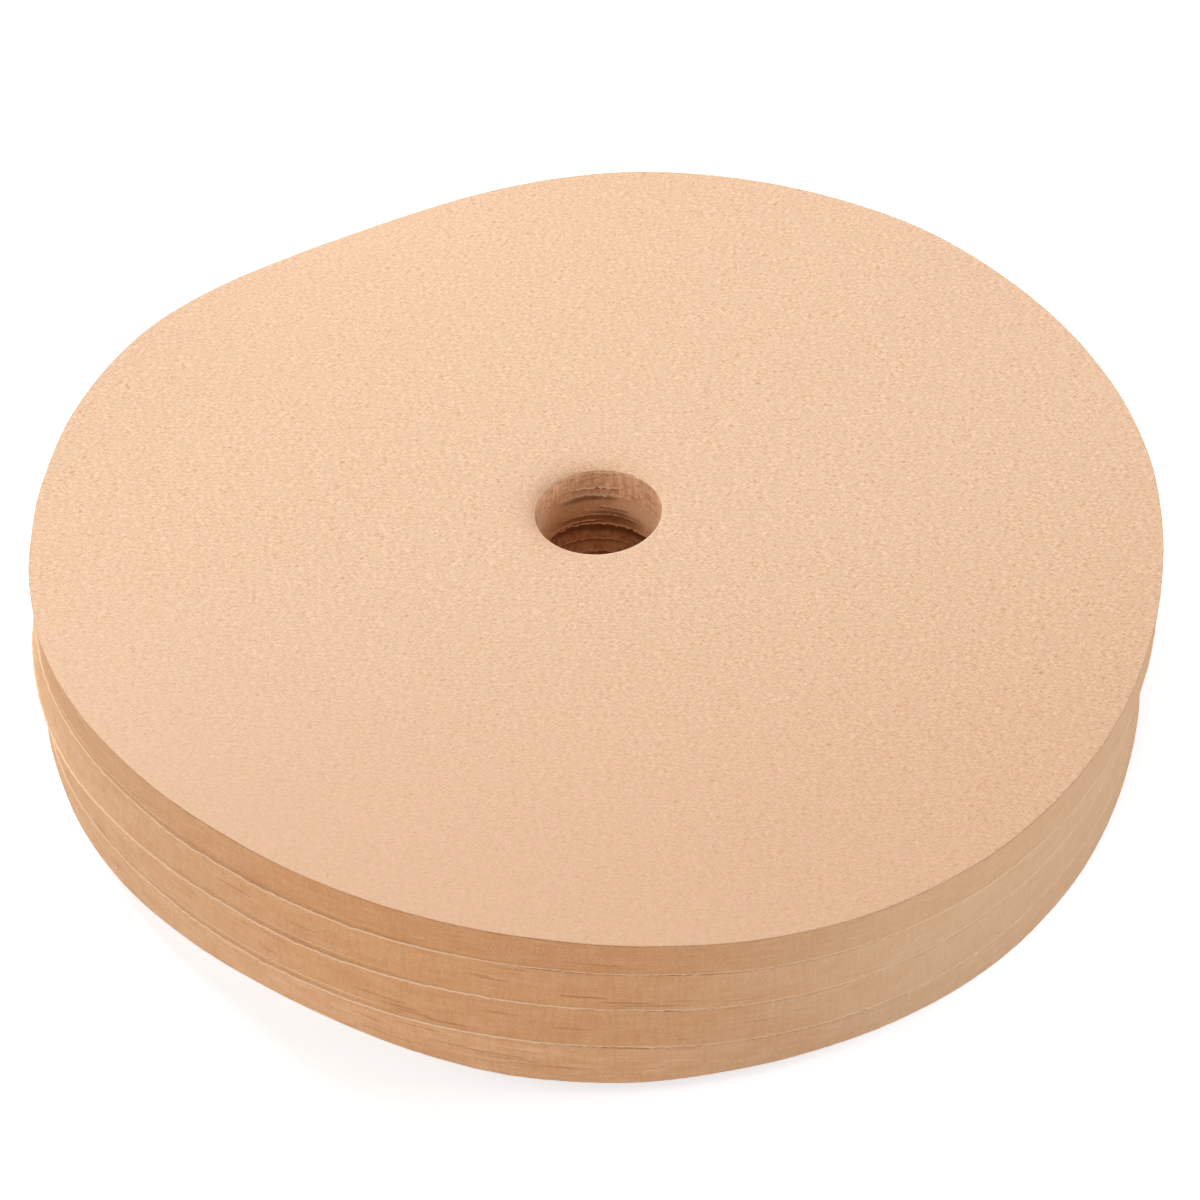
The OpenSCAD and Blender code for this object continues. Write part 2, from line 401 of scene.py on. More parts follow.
# The hole's wall in each bundle, from the bottom one up: its radius at the bottom and at the top, and how
# much narrower its top is to the left and right; the torn shelves that stand in from it: sheet, middle
# and half width in degrees, and how far in; the stretches of painted shade: sheet, sheets that they reach
# up and down, middle and half width, and strength; and the stretches of painted light in the same terms
HOLE_WALLS = (
    dict(
        low=5.6, high=6.2, sides=0.0, shelves=((0, 90, 180, 0.08), (12, 100, 60, 0.1)),
        painted_shade=((22, 9, 90, 180, 0.1),), painted_light=(),
    ),
    dict(
        low=5.6, high=6.5, sides=0.0, shelves=((0, 90, 180, 0.1), (9, 100, 40, 0.08)),
        painted_shade=((18, 5, 78, 80, 0.26), (12, 12, 90, 180, 0.08)), painted_light=((6, 2, 100, 40, 0.3),),
    ),
    dict(
        low=5.5, high=6.5, sides=1.0,
        shelves=(
            (0, 90, 180, 0.16), (2, 125, 40, 0.16), (6, 85, 40, 0.05), (9, 70, 30, 0.04), (12, 76, 14, 0.12),
        ),
        painted_shade=((18, 2.5, 98, 26, 0.2), (15, 9, 98, 30, 0.07), (3, 6, 92, 50, 0.16)),
        painted_light=((13, 8, 36, 50, 1.0), (14, 10, 150, 40, 0.7), (12, 0.8, 76, 14, 0.7)),
    ),
    dict(
        low=5.62, high=5.44, sides=0.0,
        shelves=((1, 92, 42, 0.22), (0, 90, 180, 0.06), (8, 94, 24, 0.2), (22, 88, 40, 0.05)),
        painted_shade=((14, 12, 92, 50, 0.05),), painted_light=((5, 2, 94, 24, 0.25),),
    ),
)


def hole_patches(turn, sheet, patches):
    """How strong some stretches of the hole's wall, painted darker as shade and paler as light, are at one
    sheet.
    """
    total = np.zeros(len(turn))
    for middle_sheet, reach, middle, half, strength in patches:
        fade = math.exp(-(((sheet - middle_sheet) / reach) ** 2))
        total = np.maximum(total, fade * bumps(turn, [(middle, half, strength)]))
    return total


# Noise round the hole: waves in a turn, and how far single sheets stand in or out, in millimetres
HOLE_COARSE, HOLE_FINE = (2, 30), (20, 120)
HOLE_SHEET_COARSE, HOLE_SHEET_FINE = 0.02, 0.012
HOLE_SHEETS_ALIKE = 0.7
# How ragged the shelves are, as shares of how far they stand in, and that of the top lip in millimetres
RAGGED_WAVES = (3, 20)
RAGGED_COARSE, RAGGED_FINE = 0.2, 0.35
LIP_RAGGED = 0.006
# How far the wall stands back under a shelf, and how much shade is painted on it there, as shares of how
# far the shelf stands in, each with the sheets over which it fades
RECESS, RECESS_SHEETS = 0.6, 3
GLOOM, GLOOM_SHEETS = 1.5, 2.2
# A shelf's torn edge is pale as torn paper and as a painted highlight
SHELF_PALE_IN = 0.1  # how far in a shelf's edge is wholly pale
# Each sheet's edge in the hole: its foot and top as shares of the sheet, how far back the foot lies, and
# the share of the paleness that it has
EDGE_FOOT, EDGE_TOP, EDGE_BACK = 0.05, 0.85, 0.02
FOOT_PALE = 0.8
HOLE_END = 0.2  # how far below the bundle's upper face its wall ends, in sheets
TOP_LIP_FRAY = 0.5


def under_shelves(shelves, share, sheets):
    """The sum of what some shelves above a sheet do to it, each given as its distance and its size."""
    return sum(share * deep * math.exp(-(up - 1) / sheets) for up, deep in shelves)


def hole_wall(rings, bundle, rng):
    """The wall of the hole from the bottom of a bundle up, with the torn shelves that the punch left."""
    turn = angles(HOLE_N)
    shape = HOLE_WALLS[bundle]
    own = HOLE_SHEET_COARSE * alike_rows(ring_noise(rng, HOLE_N, *HOLE_COARSE, SHEETS), HOLE_SHEETS_ALIKE)
    own += HOLE_SHEET_FINE * ring_noise(rng, HOLE_N, *HOLE_FINE, SHEETS)
    torn = RAGGED_COARSE * ring_noise(rng, HOLE_N, *RAGGED_WAVES, SHEETS)
    torn += RAGGED_FINE * ring_noise(rng, HOLE_N, *HOLE_FINE, SHEETS)
    shelves = {sheet: [] for sheet in range(SHEETS)}
    for sheet, *patch in shape["shelves"]:
        shelves[sheet].append(patch)
    high = shape["high"] - shape["sides"] * np.cos(turn) ** 2

    def ring_at(place, radius, fray_and_highlight=0.0, depth=0.0):
        x, y = radius * np.cos(turn), radius * np.sin(turn)
        sheet_ring(rings, bundle, place, x, y, PUNCHED, fray_and_highlight, depth)

    for sheet in range(SHEETS):
        shelf = bumps(turn, shelves[sheet]) * np.clip(1 + torn[sheet], 0.2, 2)
        over = [(other - sheet, bumps(turn, shelves[other])) for other in range(sheet + 1, SHEETS)]
        # gloom is painted shade: under the shelves above and in the listed dark stretches
        gloom = under_shelves(over, GLOOM, GLOOM_SHEETS) + hole_patches(turn, sheet, shape["painted_shade"])
        # The stretches of painted light, which go into the fray mark along with the shelf edges
        painted_light = hole_patches(turn, sheet, shape["painted_light"])
        plain = shape["low"] + (high - shape["low"]) * sheet / SHEETS
        radius = plain + own[sheet] - shelf + under_shelves(over, RECESS, RECESS_SHEETS)
        # Pale shelf edges: torn paper and a painted highlight
        edge = np.clip(shelf / SHELF_PALE_IN, 0, 1)
        painted_shade = gloom * (1 - edge)
        ring_at(sheet + EDGE_FOOT, radius + EDGE_BACK, np.maximum(FOOT_PALE * edge, painted_light), painted_shade)
        ring_at(sheet + EDGE_TOP, radius, np.maximum(edge, painted_light), painted_shade)
    if bundle == TOP:
        ring_at(SHEETS - HOLE_END, HOLE_R + LIP_RAGGED * torn[0], TOP_LIP_FRAY)
    else:
        ring_at(SHEETS - HOLE_END, high)


# The dimple that the punch dragged into the top sheet round the hole
DIMPLE_SIDE = 150  # where it is deepest
DIMPLE_DEEP, DIMPLE_LEAN = 0.33, 0.85  # its mean depth, and the share that this gains or loses by side
DIMPLE_REACH = 0.9
COCKLE = 0.03  # rise of the top sheet's slight waves


def near_hole(radius):
    """From 1 at the hole's rim down to 0 away from it."""
    return np.exp(-np.maximum(0, radius - HOLE_R) / DIMPLE_REACH)


def top_relief(x, y):
    """The top sheet's dimple round the hole, deepest at the back left, and its crossed, bent waves."""
    radius = np.hypot(x, y)
    turn = np.arctan2(y, x)
    lean = 1 + DIMPLE_LEAN * np.cos(turn - math.radians(DIMPLE_SIDE))
    dimple = DIMPLE_DEEP * lean * near_hole(radius)
    cockle = COCKLE * np.sin(0.21 * x + 1.3 * np.sin(0.11 * y)) * np.sin(0.17 * y + 1.1 * np.sin(0.13 * x))
    return cockle - dimple


# Radii of the rings over a face: a few on one that is hidden, and many on the top one, most of them
# close to the hole
HIDDEN_RADII = np.linspace(7.5, 46.2, 8)
CLOSE_TO_HOLE = np.array([0.06, 0.16, 0.3, 0.5, 0.75, 1.05, 1.4, 1.9, 2.5])
TOP_RADII = np.concatenate([HOLE_R + CLOSE_TO_HOLE, np.linspace(8.9, 46.9, 34)])
MID_FROM, RIM_FROM = 20, 42  # the radii from which a ring has more points
# The punched edge of the top sheet: its width, its mean paleness, as torn paper and a painted highlight, and
# the side where it isn't pale
LIP_WIDTH, LIP_PALE, LIP_SIDE = 0.1, 0.4, 80


def face_rings(rings, level, radii, air=0.0):
    """Rings over one face of a bundle, with fewer points nearer the hole."""
    for radius in radii:
        count = RIM_N if radius > RIM_FROM else MID_N if radius > MID_FROM else HOLE_N
        turn = angles(count)
        x, y = radius * np.cos(turn), radius * np.sin(turn)
        z = face_height(level, x, y) - air
        fray_and_highlight, depth = 0.0, 0.0
        if level == len(BUNDLES):
            z = z + top_relief(x, y)
            # Shade painted round the hole, most at the back left, where the dimple's slope faces away from
            # the light
            side = np.cos(turn - math.radians(DIMPLE_SIDE))
            depth = near_hole(radius) * (0.5 + 0.5 * side)
            # The punched lip is pale as torn paper and as a painted highlight, least at the back
            if radius < HOLE_R + LIP_WIDTH:
                fray_and_highlight = LIP_PALE - LIP_PALE * np.cos(turn - math.radians(LIP_SIDE))
        rings.add(x, y, z, FACE, 0.0, fray_and_highlight, depth)


def bundle_piece(bundle, materials):
    """One bundle of sheets as a closed mesh, in place of its solid."""
    rng = np.random.default_rng(SEED + bundle)
    rings = Rings()
    hole_wall(rings, bundle, rng)
    if bundle == TOP:
        face_rings(rings, bundle + 1, TOP_RADII)
    else:
        face_rings(rings, bundle + 1, HIDDEN_RADII, BUNDLE_GAP)
    rim_edge(rings, bundle, rng)
    face_rings(rings, bundle, HIDDEN_RADII[::-1])
    piece = rings.mesh(BUNDLES[bundle] + "_sheets", materials)
    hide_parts(BUNDLES[bundle])


# Loose fibres on the top sheet, as thin curled tubes
FIBRES = 7000
FIBRE_LENGTH = (0.3, 1.1)
LONGER, LONGER_SHARE = 2.5, 0.02  # a few are so many times as long
FIBRE_R = (0.009, 0.017)
FIBRE_JOINTS = 5
FIBRE_SIDES = 3
FIBRE_TIP = 0.35  # the share of its radius that a fibre keeps at its ends
FIBRE_CURL, JOINT_CURL = 0.35, 0.6  # its bend at each joint in radians, and how uneven, as a share
FIBRE_LIFT = (-0.9, 0.6)  # how far its middle lies over the paper, in its own radii
FIBRE_TONES = {0.0: 0.08, 0.5: 0.42, 1.0: 0.5}  # the share of each tone, from brown to pale
START_ROOM = (0.6, 0.3)  # the room that the middles of fibres leave at the hole and at the rim
FIBRE_ROOM = (0.25, 0.12)  # and the room that all of each leaves there

# Short ones that stand out of the burrs
TUFTS = 600
TUFT_LENGTH = (0.15, 0.5)
TUFT_R = (0.014, 0.03)
TUFT_SPREAD = 1.3  # deviation from the burr's strongest side, in radians
TUFT_FOOT = 0.06  # how far out of the plain wall it begins
TUFT_OUT = 0.1  # how much further out its end is
TUFT_LEAN = 0.25  # how far it turns away from the rim's direction
TUFT_RISE = 0.06  # deviation of its end's height
TUFT_UP = 0.02  # the share of the way up its bundle at which it begins
FOOT_CLEAR, TUFT_CLEAR = 0.05, 0.03  # the least height of its foot and of the rest


def walks(rng, count, lengths, curl):
    """Curled paths in the plane, as steps from each start: count by joints by two."""
    heading = rng.uniform(0, 2 * math.pi, (count, 1))
    bend = rng.normal(0, curl, (count, 1)) + rng.normal(0, curl * JOINT_CURL, (count, FIBRE_JOINTS - 1))
    course = heading + np.cumsum(bend, 1)
    step = lengths[:, None, None] / (FIBRE_JOINTS - 1)
    steps = step * np.stack([np.cos(course), np.sin(course)], 2)
    return np.concatenate([np.zeros((count, 1, 2)), np.cumsum(steps, 1)], 1)


def tubes(name, paths, radii, tones, material):
    """Thin closed tubes along paths of joints, tapered at both ends, as one piece."""
    count, joints, _ = paths.shape
    ahead = np.gradient(paths, axis=1)
    ahead /= np.linalg.norm(ahead, axis=2, keepdims=True)
    across = np.cross(ahead, [0.0, 0.0, 1.0])
    across /= np.linalg.norm(across, axis=2, keepdims=True) + 1e-9
    over = np.cross(across, ahead)
    taper = np.array([FIBRE_TIP] + [1.0] * (joints - 2) + [FIBRE_TIP])
    spin = angles(FIBRE_SIDES)
    ring = across[:, :, None] * np.cos(spin)[:, None] + over[:, :, None] * np.sin(spin)[:, None]
    points = paths[:, :, None] + ring * (radii[:, None] * taper)[:, :, None, None]
    each = joints * FIBRE_SIDES
    first = (np.arange(count) * each)[:, None, None]
    joint = (np.arange(joints - 1) * FIBRE_SIDES)[None, :, None]
    side = np.arange(FIBRE_SIDES)[None, None, :]
    here = first + joint + side
    beside = first + joint + (side + 1) % FIBRE_SIDES
    quads = np.stack([here, beside, beside + FIBRE_SIDES, here + FIBRE_SIDES], 3).reshape(-1, 4)
    start_cap = first[:, 0] + np.arange(FIBRE_SIDES)[::-1]
    end_cap = first[:, 0] + each - FIBRE_SIDES + np.arange(FIBRE_SIDES)
    corners = np.concatenate([quads.ravel(), start_cap.ravel(), end_cap.ravel()])
    sizes = np.concatenate([np.full(len(quads), 4), np.full(2 * count, FIBRE_SIDES)])
    return new_piece(
        name, points.reshape(-1, 3), corners, sizes, np.zeros(len(sizes)), [material],
        dict(tone=np.repeat(tones, each)),
    )


def top_fibres(rng):
    """Paths, radii and tones of the fibres that lie on the top sheet."""
    lengths = rng.uniform(*FIBRE_LENGTH, FIBRES)
    lengths *= rng.choice([1.0, LONGER], FIBRES, p=[1 - LONGER_SHARE, LONGER_SHARE])
    radius = np.sqrt(rng.uniform((HOLE_R + START_ROOM[0]) ** 2, (DISC_R - START_ROOM[1]) ** 2, FIBRES))
    turn = rng.uniform(0, 2 * math.pi, FIBRES)
    start = np.stack([radius * np.cos(turn), radius * np.sin(turn)], 1)
    flat = start[:, None] + walks(rng, FIBRES, lengths, FIBRE_CURL)
    flat -= (flat.mean(1) - start)[:, None]
    reach = np.linalg.norm(flat, axis=2)
    flat *= (np.clip(reach, HOLE_R + FIBRE_ROOM[0], DISC_R - FIBRE_ROOM[1]) / reach)[:, :, None]
    radii = rng.uniform(*FIBRE_R, FIBRES)
    x, y = flat[:, :, 0], flat[:, :, 1]
    lift = radii[:, None] * rng.uniform(*FIBRE_LIFT, (FIBRES, FIBRE_JOINTS))
    z = face_height(len(BUNDLES), x, y) + top_relief(x, y) + lift
    tones = rng.choice(list(FIBRE_TONES), FIBRES, p=list(FIBRE_TONES.values()))
    return np.stack([x, y, z], 2), radii, tones


def burr_tufts(rng):
    """Short torn fibres that stand out of the burrs."""
    bundle = rng.integers(1, len(BUNDLES), TUFTS)
    turn = math.radians(BURR_SIDE) + rng.normal(0, TUFT_SPREAD, TUFTS)
    along = rng.normal(0, 1.0, TUFTS)  # the way round the rim that each points, and how much it leans
    lengths = rng.uniform(*TUFT_LENGTH, TUFTS)
    paths = np.zeros((TUFTS, FIBRE_JOINTS, 3))
    share = np.linspace(0, 1, FIBRE_JOINTS)
    for i in range(TUFTS):
        x, y = wall_place(bundle[i], 0.0, turn[i], TUFT_FOOT)
        z = max(height_in(bundle[i], TUFT_UP, x, y), FOOT_CLEAR)
        course = turn[i] + math.pi / 2 * np.sign(along[i]) - along[i] * TUFT_LEAN
        out = TUFT_OUT * share ** 2
        paths[i, :, 0] = x + lengths[i] * share * math.cos(course) + out * math.cos(turn[i])
        paths[i, :, 1] = y + lengths[i] * share * math.sin(course) + out * math.sin(turn[i])
        paths[i, :, 2] = np.maximum(z + TUFT_RISE * share * rng.normal(), TUFT_CLEAR)
    return paths, rng.uniform(*TUFT_R, TUFTS), np.full(TUFTS, max(FIBRE_TONES))


# Materials

def srgb(red, green, blue):
    """A colour written as 0 to 255, as the linear values that shaders take."""
    parts = [c / 255 for c in (red, green, blue)]
    return (*[c / 12.92 if c <= 0.04045 else ((c + 0.055) / 1.055) ** 2.4 for c in parts], 1.0)


class Nodes:
    """Short calls for the nodes of one material."""

    def __init__(self, name):
        self.material = bpy.data.materials.new(name)
        self.material.use_nodes = True
        self.tree = self.material.node_tree
        self.tree.nodes.clear()
        self.output = self.tree.nodes.new("ShaderNodeOutputMaterial")

    def fill(self, node, inputs):
        for key, value in inputs.items():
            if isinstance(value, bpy.types.NodeSocket):
                self.tree.links.new(value, node.inputs[key])
            else:
                node.inputs[key].default_value = value
        return node

    def new(self, kind, inputs=None, **settings):
        node = self.tree.nodes.new("ShaderNode" + kind)
        for key, value in settings.items():
            setattr(node, key, value)
        return self.fill(node, inputs or {})

    def math(self, operation, a, b):
        return self.new("Math", {0: a, 1: b}, operation=operation).outputs[0]

    def sum(self, *values):
        total = values[0]
        for value in values[1:]:
            total = self.math("ADD", total, value)
        return total

    def times(self, value, factor):
        return self.math("MULTIPLY", value, factor)

    def grid(self, place, size, turn=0.0, shift=(0, 0, 0)):
        """Coordinates in which one unit is size millimetres along each axis turned about Z."""
        scale = [length * MM for length in size]
        inputs = {"Vector": place, "Location": shift, "Rotation": (0, 0, math.radians(turn)), "Scale": scale}
        return self.new("Mapping", inputs, vector_type="TEXTURE").outputs[0]

    def noise(self, place, detail=0.0, flat=False):
        """Noise with 0.5 in its middle, over a plane if it is flat."""
        return self.new(
            "TexNoise", {"Vector": place, "Scale": 1.0, "Detail": detail, "Roughness": 0.6},
            noise_dimensions="2D" if flat else "3D",
        ).outputs[0]

    def range(self, value, low, high, new_low=0.0, new_high=1.0):
        """A smooth step from one new value to the other, as the value goes from low to high."""
        inputs = {"Value": value, "From Min": low, "From Max": high, "To Min": new_low, "To Max": new_high}
        return self.new("MapRange", inputs, interpolation_type="SMOOTHSTEP").outputs[0]

    def mix(self, share, a, b):
        node = self.new("Mix", data_type="RGBA")
        return self.fill(node, {0: share, 6: a, 7: b}).outputs[2]

    def tint(self, share, colour, factor):
        """A colour times a factor for each channel, by a share."""
        node = self.new("Mix", data_type="RGBA", blend_type="MULTIPLY")
        return self.fill(node, {0: share, 6: colour, 7: (*factor, 1.0)}).outputs[2]

    def attribute(self, word):
        return self.new("Attribute", attribute_name=word).outputs["Fac"]

    def paper(self, colour, roughness, height=None, distance=0.0):
        """The matt surface of paper, with a bump of so many millimetres."""
        inputs = {"Base Color": colour, "Roughness": roughness, "Specular IOR Level": PAPER_GLOSS}
        if height is not None:
            inputs["Normal"] = self.new("Bump", {"Height": height, "Distance": distance * MM}).outputs[0]
        shader = self.new("BsdfPrincipled", inputs)
        self.tree.links.new(shader.outputs[0], self.output.inputs["Surface"])
        return self.material


PAPER_GLOSS = 0.1

# Colours of the paper's face
PLAIN_PAPER, ROSY_PAPER = srgb(236, 200, 166), srgb(239, 199, 168)
RAISED_FIBRE = srgb(251, 215, 182)
# The first is shade painted in the felt's hollows
HOLLOW_SHADE, PORE = srgb(220, 172, 132), srgb(220, 171, 131)
SPECK = srgb(170, 118, 80)
DIMPLE_SHADE = srgb(196, 138, 96)
# Torn paper and a painted highlight on the hole's punched lip
TORN_LIP_AND_HIGHLIGHT = srgb(255, 230, 204)
FIBRE_BEND = (0.2 * MM, 0.4 * MM, 0.0)  # how far fibres wander from a straight line
FIBRE_GRID = (0.5, 0.1, 1.0)  # length and width of a fibre in the noise
FIBRE_TURNS = ((1, 22), (3, 146))  # seed and direction of each layer of fibres


def paper_face():
    """The felted face of the filter paper: curled fibres, faint mottling and a few specks, with painted
    shade in its hollows, round the hole and toward the front.
    """
    nodes = Nodes("paper_face")
    place = nodes.new("TexCoord").outputs["Object"]
    fray_and_highlight, depth = nodes.attribute("fray_and_highlight"), nodes.attribute("depth")
    wander = nodes.noise(nodes.grid(place, (0.9, 0.9, 0.9)), flat=True)
    bent = nodes.new("VectorMath", {0: wander, 1: FIBRE_BEND}, operation="MULTIPLY").outputs[0]
    bent = nodes.new("VectorMath", {0: place, 1: bent}, operation="ADD").outputs[0]
    felt = nodes.math("MAXIMUM", *[
        nodes.noise(nodes.grid(bent, FIBRE_GRID, turn, (seed, seed, 0)), flat=True)
        for seed, turn in FIBRE_TURNS
    ])
    grain = nodes.noise(nodes.grid(place, (0.09, 0.09, 0.09)), flat=True)
    mottle = nodes.noise(nodes.grid(place, (1.6, 1.6, 1.6)), 1.0, flat=True)
    speck = nodes.noise(nodes.grid(place, (0.5, 0.35, 0.5), 30, (7, 2, 1)), flat=True)

    # Two directions over the pack, in metres: to the front and a little right, toward which shade is painted
    # on, and to the front left, where the felt is worn smooth and painted a little darker in place of the
    # bump's shade
    x, y, _ = nodes.new("SeparateXYZ", {0: place}).outputs
    ahead = nodes.sum(nodes.times(x, 0.35), nodes.times(y, -1.0))
    front_left = nodes.sum(nodes.times(x, -0.25), nodes.times(y, -1.0))
    worn_and_shaded = nodes.range(front_left, 0.0, 0.06, 0.0, 0.78)

    plain = nodes.mix(nodes.range(mottle, 0.3, 0.7), PLAIN_PAPER, ROSY_PAPER)
    colour = nodes.mix(nodes.range(felt, 0.56, 0.74), plain, RAISED_FIBRE)
    # Painted shade in the felt's hollows
    colour = nodes.mix(nodes.range(felt, 0.5, 0.38, 0.0, 0.9), colour, HOLLOW_SHADE)
    colour = nodes.mix(nodes.range(grain, 0.45, 0.2, 0.0, 0.8), colour, PORE)
    colour = nodes.mix(nodes.range(speck, 0.82, 0.86, 0.0, 0.35), colour, SPECK)
    smooth = nodes.math("MAXIMUM", worn_and_shaded, nodes.range(mottle, 0.52, 0.36, 0.0, 0.35))
    colour = nodes.mix(smooth, colour, plain)
    # Painted shade round the hole, where the dimple dips
    colour = nodes.mix(nodes.times(depth, 0.45), colour, DIMPLE_SHADE)
    colour = nodes.mix(fray_and_highlight, colour, TORN_LIP_AND_HIGHLIGHT)
    # Painted shade, darker toward the front
    colour = nodes.tint(nodes.range(ahead, 0.0, 0.055), colour, (0.95, 0.9, 0.85))
    # Painted shade where the worn felt's bump is faded
    colour = nodes.tint(worn_and_shaded, colour, (0.96, 0.95, 0.95))
    height = nodes.times(nodes.sum(felt, nodes.times(grain, 0.4)), nodes.range(worn_and_shaded, 0.0, 1.0, 1.0, 0.4))
    return nodes.paper(colour, 0.85, height, 0.042)


# Colours of the sheets' edges
# The third of these is shade painted on the top bundle's rim
CUT_EDGE, CUT_PATCH, CUT_TOP_SHADE = srgb(218, 160, 112), srgb(222, 168, 122), srgb(196, 134, 88)
# Light painted on the right of the cut rim
CUT_RIGHT_LIT = srgb(220, 165, 118)
# Paler than the cut rim's colours, as light painted into the hole
HOLE_EDGE, HOLE_DARK, HOLE_PALE = srgb(238, 194, 154), srgb(208, 156, 116), srgb(252, 218, 182)
BLADE_MARK = srgb(196, 136, 92)
SHEET_LINE = srgb(240, 194, 152)
# The pale one is grit, and it also paints light on the upper middle wall in the hole
PALE_GRIT_AND_LIGHT, DARK_GRIT = srgb(252, 208, 166), srgb(186, 124, 80)
# Torn paper, and also painted highlights on the hole's wall and shelf edges
TORN_EDGE_AND_HIGHLIGHT = srgb(255, 217, 180)
GAP_SHADE = srgb(128, 78, 48)

# What differs between the cut rim and the punched hole: size of the patches, strength of the blade's
# marks, of the grit and of the pale torn lips and painted highlights, and the depth in millimetres at
# which the painted shade is darkest
CUT_LOOK = dict(name="cut_edge", patches=(3.0, 3.0, 1.2), drag=0.2, grit=0.22, torn=0.8, deepest=0.34)
HOLE_LOOK = dict(
    name="punched_edge", patches=(0.6, 0.6, 0.45), drag=0.5, grit=0.4, torn=0.9, deepest=0.24,
)

# The lowest layers of the three upper bundles
LOWER_MIDDLE_AT, UPPER_MIDDLE_AT, TOP_AT = SHEETS, 2 * SHEETS, 3 * SHEETS


def cut_ground(nodes, patch, layer):
    """The cut rim's colour, with shade painted on the top bundle."""
    colour = nodes.mix(nodes.range(patch, 0.3, 0.7), CUT_EDGE, CUT_PATCH)
    return nodes.mix(nodes.range(layer, TOP_AT - 1, TOP_AT + 1, 0.0, 0.35), colour, CUT_TOP_SHADE)


def hole_ground(nodes, patch):
    """The punched wall's colour, paler than the cut rim's as light painted into the hole, with dark and pale
    patches.
    """
    colour = nodes.mix(nodes.range(patch, 0.48, 0.3), HOLE_EDGE, HOLE_DARK)
    return nodes.mix(nodes.range(patch, 0.55, 0.75), colour, HOLE_PALE)


def cut_painted_light(nodes, colour, x, y, layer):
    """Light painted on the cut rim by side: paler to the right, left and back, and low on the front, with x
    and y in steps of 3 mm.
    """
    right = nodes.range(x, -1.0, 9.0)
    left = nodes.range(x, -5.0, -15.0, 0.0, 0.7)
    back = nodes.range(y, -3.0, 8.0, 0.0, 0.7)
    sides = nodes.math("MAXIMUM", nodes.math("MAXIMUM", right, left), back)
    # The bottom bundle at the front is painted paler, as if lit from the floor
    bottom = nodes.range(layer, LOWER_MIDDLE_AT + 2, LOWER_MIDDLE_AT - 5)
    low = nodes.times(bottom, nodes.range(sides, 0.0, 0.7, 1.0, 0.0))
    colour = nodes.mix(nodes.times(right, 0.35), colour, CUT_RIGHT_LIT)
    colour = nodes.tint(sides, colour, (1.08, 1.31, 1.6))
    return nodes.tint(low, colour, (1.11, 1.17, 1.25))


def edge_of_sheets(look):
    """The stacked edges of the sheets, cut at the rim or punched in the hole: marks of the blade across
    them, a line for each sheet, paler torn lips, and painted light, highlights and shade."""
    nodes = Nodes(look["name"])
    punched = look is HOLE_LOOK
    place = nodes.new("TexCoord").outputs["Object"]
    layer, fray_and_highlight, depth = (nodes.attribute(word) for word in ("layer", "fray_and_highlight", "depth"))
    drag = nodes.noise(nodes.grid(place, (0.35, 0.35, 3.0)), 2.0)
    x, y, _ = nodes.new("SeparateXYZ", {0: nodes.grid(place, (3.0, 3.0, 3.0))}).outputs
    sheet = {"X": x, "Y": y, "Z": nodes.times(layer, 0.6)}
    lines = nodes.noise(nodes.new("CombineXYZ", sheet).outputs[0], 1.0)
    crumb = nodes.noise(nodes.grid(place, (0.13, 0.13, 0.1)))
    patch = nodes.noise(nodes.grid(place, look["patches"], 0, (4, 1, 2)), 1.0)

    colour = hole_ground(nodes, patch) if punched else cut_ground(nodes, patch, layer)
    colour = nodes.mix(nodes.range(drag, 0.6, 0.35, 0.0, look["drag"]), colour, BLADE_MARK)
    if punched:
        # Painted light: the upper middle bundle's wall in the hole is painted paler
        from_below = nodes.range(layer, UPPER_MIDDLE_AT - 2, UPPER_MIDDLE_AT + 2, 0.0, 0.4)
        upper_middle_lit = nodes.times(from_below, nodes.range(layer, TOP_AT + 2, TOP_AT - 1))
        colour = nodes.mix(upper_middle_lit, colour, PALE_GRIT_AND_LIGHT)
    clear = nodes.range(layer, LOWER_MIDDLE_AT - 1, LOWER_MIDDLE_AT + 2, 0.35, 0.18)
    colour = nodes.mix(nodes.times(nodes.range(lines, 0.45, 0.75), clear), colour, SHEET_LINE)
    colour = nodes.mix(nodes.range(crumb, 0.5, 0.8, 0.0, look["grit"]), colour, PALE_GRIT_AND_LIGHT)
    colour = nodes.mix(nodes.range(crumb, 0.45, 0.2, 0.0, look["grit"]), colour, DARK_GRIT)
    if not punched:
        colour = cut_painted_light(nodes, colour, x, y, layer)
    # Pale torn lips, and on the hole's wall also painted highlights
    colour = nodes.mix(nodes.times(fray_and_highlight, look["torn"]), colour, TORN_EDGE_AND_HIGHLIGHT)
    # Painted shade in the gaps, under the burrs and shelves and in the hole's dark stretches
    colour = nodes.mix(nodes.range(depth, 0.0, look["deepest"], 0.0, 0.85), colour, GAP_SHADE)
    height = nodes.sum(nodes.times(drag, 0.4), nodes.times(crumb, 0.6))
    return nodes.paper(colour, 0.9, height, 0.04)


def fibre_paper():
    """Single fibres, from brown through the paper's own colour to pale."""
    nodes = Nodes("fibre_paper")
    tone = nodes.attribute("tone")
    colour = nodes.mix(nodes.range(tone, 0.0, 0.5), srgb(222, 178, 142), srgb(240, 201, 168))
    colour = nodes.mix(nodes.range(tone, 0.5, 1.0), colour, srgb(248, 214, 184))
    return nodes.paper(colour, 0.7)


# Stage, light and camera

